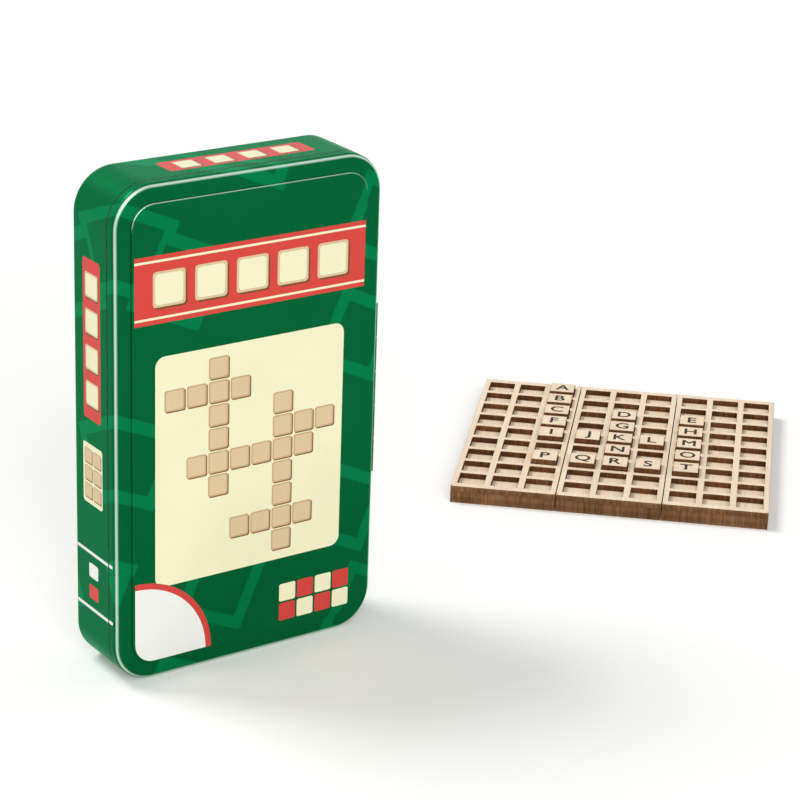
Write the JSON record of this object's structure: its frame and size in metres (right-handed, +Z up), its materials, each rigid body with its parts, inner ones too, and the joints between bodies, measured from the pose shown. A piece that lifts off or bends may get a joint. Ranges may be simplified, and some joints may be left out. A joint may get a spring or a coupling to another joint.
{
  "type": "word board game",
  "caption": "Hinged printed tin standing on its short end, beside a wooden letter board in panels with recessed cells that hold square letter tiles.",
  "frame": {"origin": "middle of the flat end that the tin stands on", "axes": "+X across the tin's width towards its hinge and the board, -Y out of the lid, +Z up"},
  "size_m": [0.4095, 0.1964, 0.195],
  "materials": {
    "printed_tinplate": "gloss lacquered print on pressed tinplate",
    "hinge_steel": "bright tinned steel",
    "board_wood": "fine sanded light wood with scorched cut edges",
    "tile_wood": "fine sanded light wood with scorched cut edges and a burnt-in letter"
  },
  "bodies": {
    "tin": {"tin_wall": "printed_tinplate", "tin_back_panel": "printed_tinplate", "hinge_pin": "hinge_steel", "hinge_wall_knuckles": "printed_tinplate", "spare_tiles_row_1": "tile_wood", "spare_tiles_row_2": "tile_wood", "spare_tiles_row_3": "tile_wood"},
    "lid": {"tin_lid": "printed_tinplate", "hinge_lid_knuckles": "printed_tinplate"},
    "left_panel": {"left_panel_base": "board_wood", "left_panel_rails": "board_wood", "left_panel_crossbars": "board_wood"},
    "middle_panel": {"middle_panel_base": "board_wood", "middle_panel_rails": "board_wood", "middle_panel_crossbars": "board_wood"},
    "right_panel": {"right_panel_base": "board_wood", "right_panel_rails": "board_wood", "right_panel_crossbars": "board_wood"},
    "tile_01": {"letter_tile_01": "tile_wood"},
    "tile_02": {"letter_tile_02": "tile_wood"},
    "tile_03": {"letter_tile_03": "tile_wood"},
    "tile_04": {"letter_tile_04": "tile_wood"},
    "tile_05": {"letter_tile_05": "tile_wood"},
    "tile_06": {"letter_tile_06": "tile_wood"},
    "tile_07": {"letter_tile_07": "tile_wood"},
    "tile_08": {"letter_tile_08": "tile_wood"},
    "tile_09": {"letter_tile_09": "tile_wood"},
    "tile_10": {"letter_tile_10": "tile_wood"},
    "tile_11": {"letter_tile_11": "tile_wood"},
    "tile_12": {"letter_tile_12": "tile_wood"},
    "tile_13": {"letter_tile_13": "tile_wood"},
    "tile_14": {"letter_tile_14": "tile_wood"},
    "tile_15": {"letter_tile_15": "tile_wood"},
    "tile_16": {"letter_tile_16": "tile_wood"},
    "tile_17": {"letter_tile_17": "tile_wood"},
    "tile_18": {"letter_tile_18": "tile_wood"},
    "tile_19": {"letter_tile_19": "tile_wood"},
    "tile_20": {"letter_tile_20": "tile_wood"}
  },
  "joints": [
    {"name": "lid_hinge", "type": "hinge", "parent": "tin", "child": "lid", "pos_m": [0.059, -0.00935, 0.0975], "axis": [0, 0, 1], "range_deg": [0, 110]},
    {"name": "middle_panel_lift", "type": "slide", "parent": "tin", "child": "middle_panel", "axis": [0, 0, 1], "range_m": [0, 0.04]},
    {"name": "left_panel_slide", "type": "slide", "parent": "middle_panel", "child": "left_panel", "axis": [-0.7314, 0.682, 0], "range_m": [0, 0.02]},
    {"name": "right_panel_slide", "type": "slide", "parent": "middle_panel", "child": "right_panel", "axis": [0.7314, -0.682, 0], "range_m": [0, 0.02]},
    {"name": "tile_01_lift", "type": "slide", "parent": "left_panel", "child": "tile_01", "axis": [0, 0, 1], "range_m": [0, 0.02]},
    {"name": "tile_02_lift", "type": "slide", "parent": "left_panel", "child": "tile_02", "axis": [0, 0, 1], "range_m": [0, 0.02]},
    {"name": "tile_03_lift", "type": "slide", "parent": "left_panel", "child": "tile_03", "axis": [0, 0, 1], "range_m": [0, 0.02]},
    {"name": "tile_04_lift", "type": "slide", "parent": "middle_panel", "child": "tile_04", "axis": [0, 0, 1], "range_m": [0, 0.02]},
    {"name": "tile_05_lift", "type": "slide", "parent": "right_panel", "child": "tile_05", "axis": [0, 0, 1], "range_m": [0, 0.02]},
    {"name": "tile_06_lift", "type": "slide", "parent": "left_panel", "child": "tile_06", "axis": [0, 0, 1], "range_m": [0, 0.02]},
    {"name": "tile_07_lift", "type": "slide", "parent": "middle_panel", "child": "tile_07", "axis": [0, 0, 1], "range_m": [0, 0.02]},
    {"name": "tile_08_lift", "type": "slide", "parent": "right_panel", "child": "tile_08", "axis": [0, 0, 1], "range_m": [0, 0.02]},
    {"name": "tile_09_lift", "type": "slide", "parent": "left_panel", "child": "tile_09", "axis": [0, 0, 1], "range_m": [0, 0.02]},
    {"name": "tile_10_lift", "type": "slide", "parent": "middle_panel", "child": "tile_10", "axis": [0, 0, 1], "range_m": [0, 0.02]},
    {"name": "tile_11_lift", "type": "slide", "parent": "middle_panel", "child": "tile_11", "axis": [0, 0, 1], "range_m": [0, 0.02]},
    {"name": "tile_12_lift", "type": "slide", "parent": "middle_panel", "child": "tile_12", "axis": [0, 0, 1], "range_m": [0, 0.02]},
    {"name": "tile_13_lift", "type": "slide", "parent": "right_panel", "child": "tile_13", "axis": [0, 0, 1], "range_m": [0, 0.02]},
    {"name": "tile_14_lift", "type": "slide", "parent": "middle_panel", "child": "tile_14", "axis": [0, 0, 1], "range_m": [0, 0.02]},
    {"name": "tile_15_lift", "type": "slide", "parent": "right_panel", "child": "tile_15", "axis": [0, 0, 1], "range_m": [0, 0.02]},
    {"name": "tile_16_lift", "type": "slide", "parent": "left_panel", "child": "tile_16", "axis": [0, 0, 1], "range_m": [0, 0.02]},
    {"name": "tile_17_lift", "type": "slide", "parent": "middle_panel", "child": "tile_17", "axis": [0, 0, 1], "range_m": [0, 0.02]},
    {"name": "tile_18_lift", "type": "slide", "parent": "middle_panel", "child": "tile_18", "axis": [0, 0, 1], "range_m": [0, 0.02]},
    {"name": "tile_19_lift", "type": "slide", "parent": "middle_panel", "child": "tile_19", "axis": [0, 0, 1], "range_m": [0, 0.02]},
    {"name": "tile_20_lift", "type": "slide", "parent": "right_panel", "child": "tile_20", "axis": [0, 0, 1], "range_m": [0, 0.02]}
  ]
}
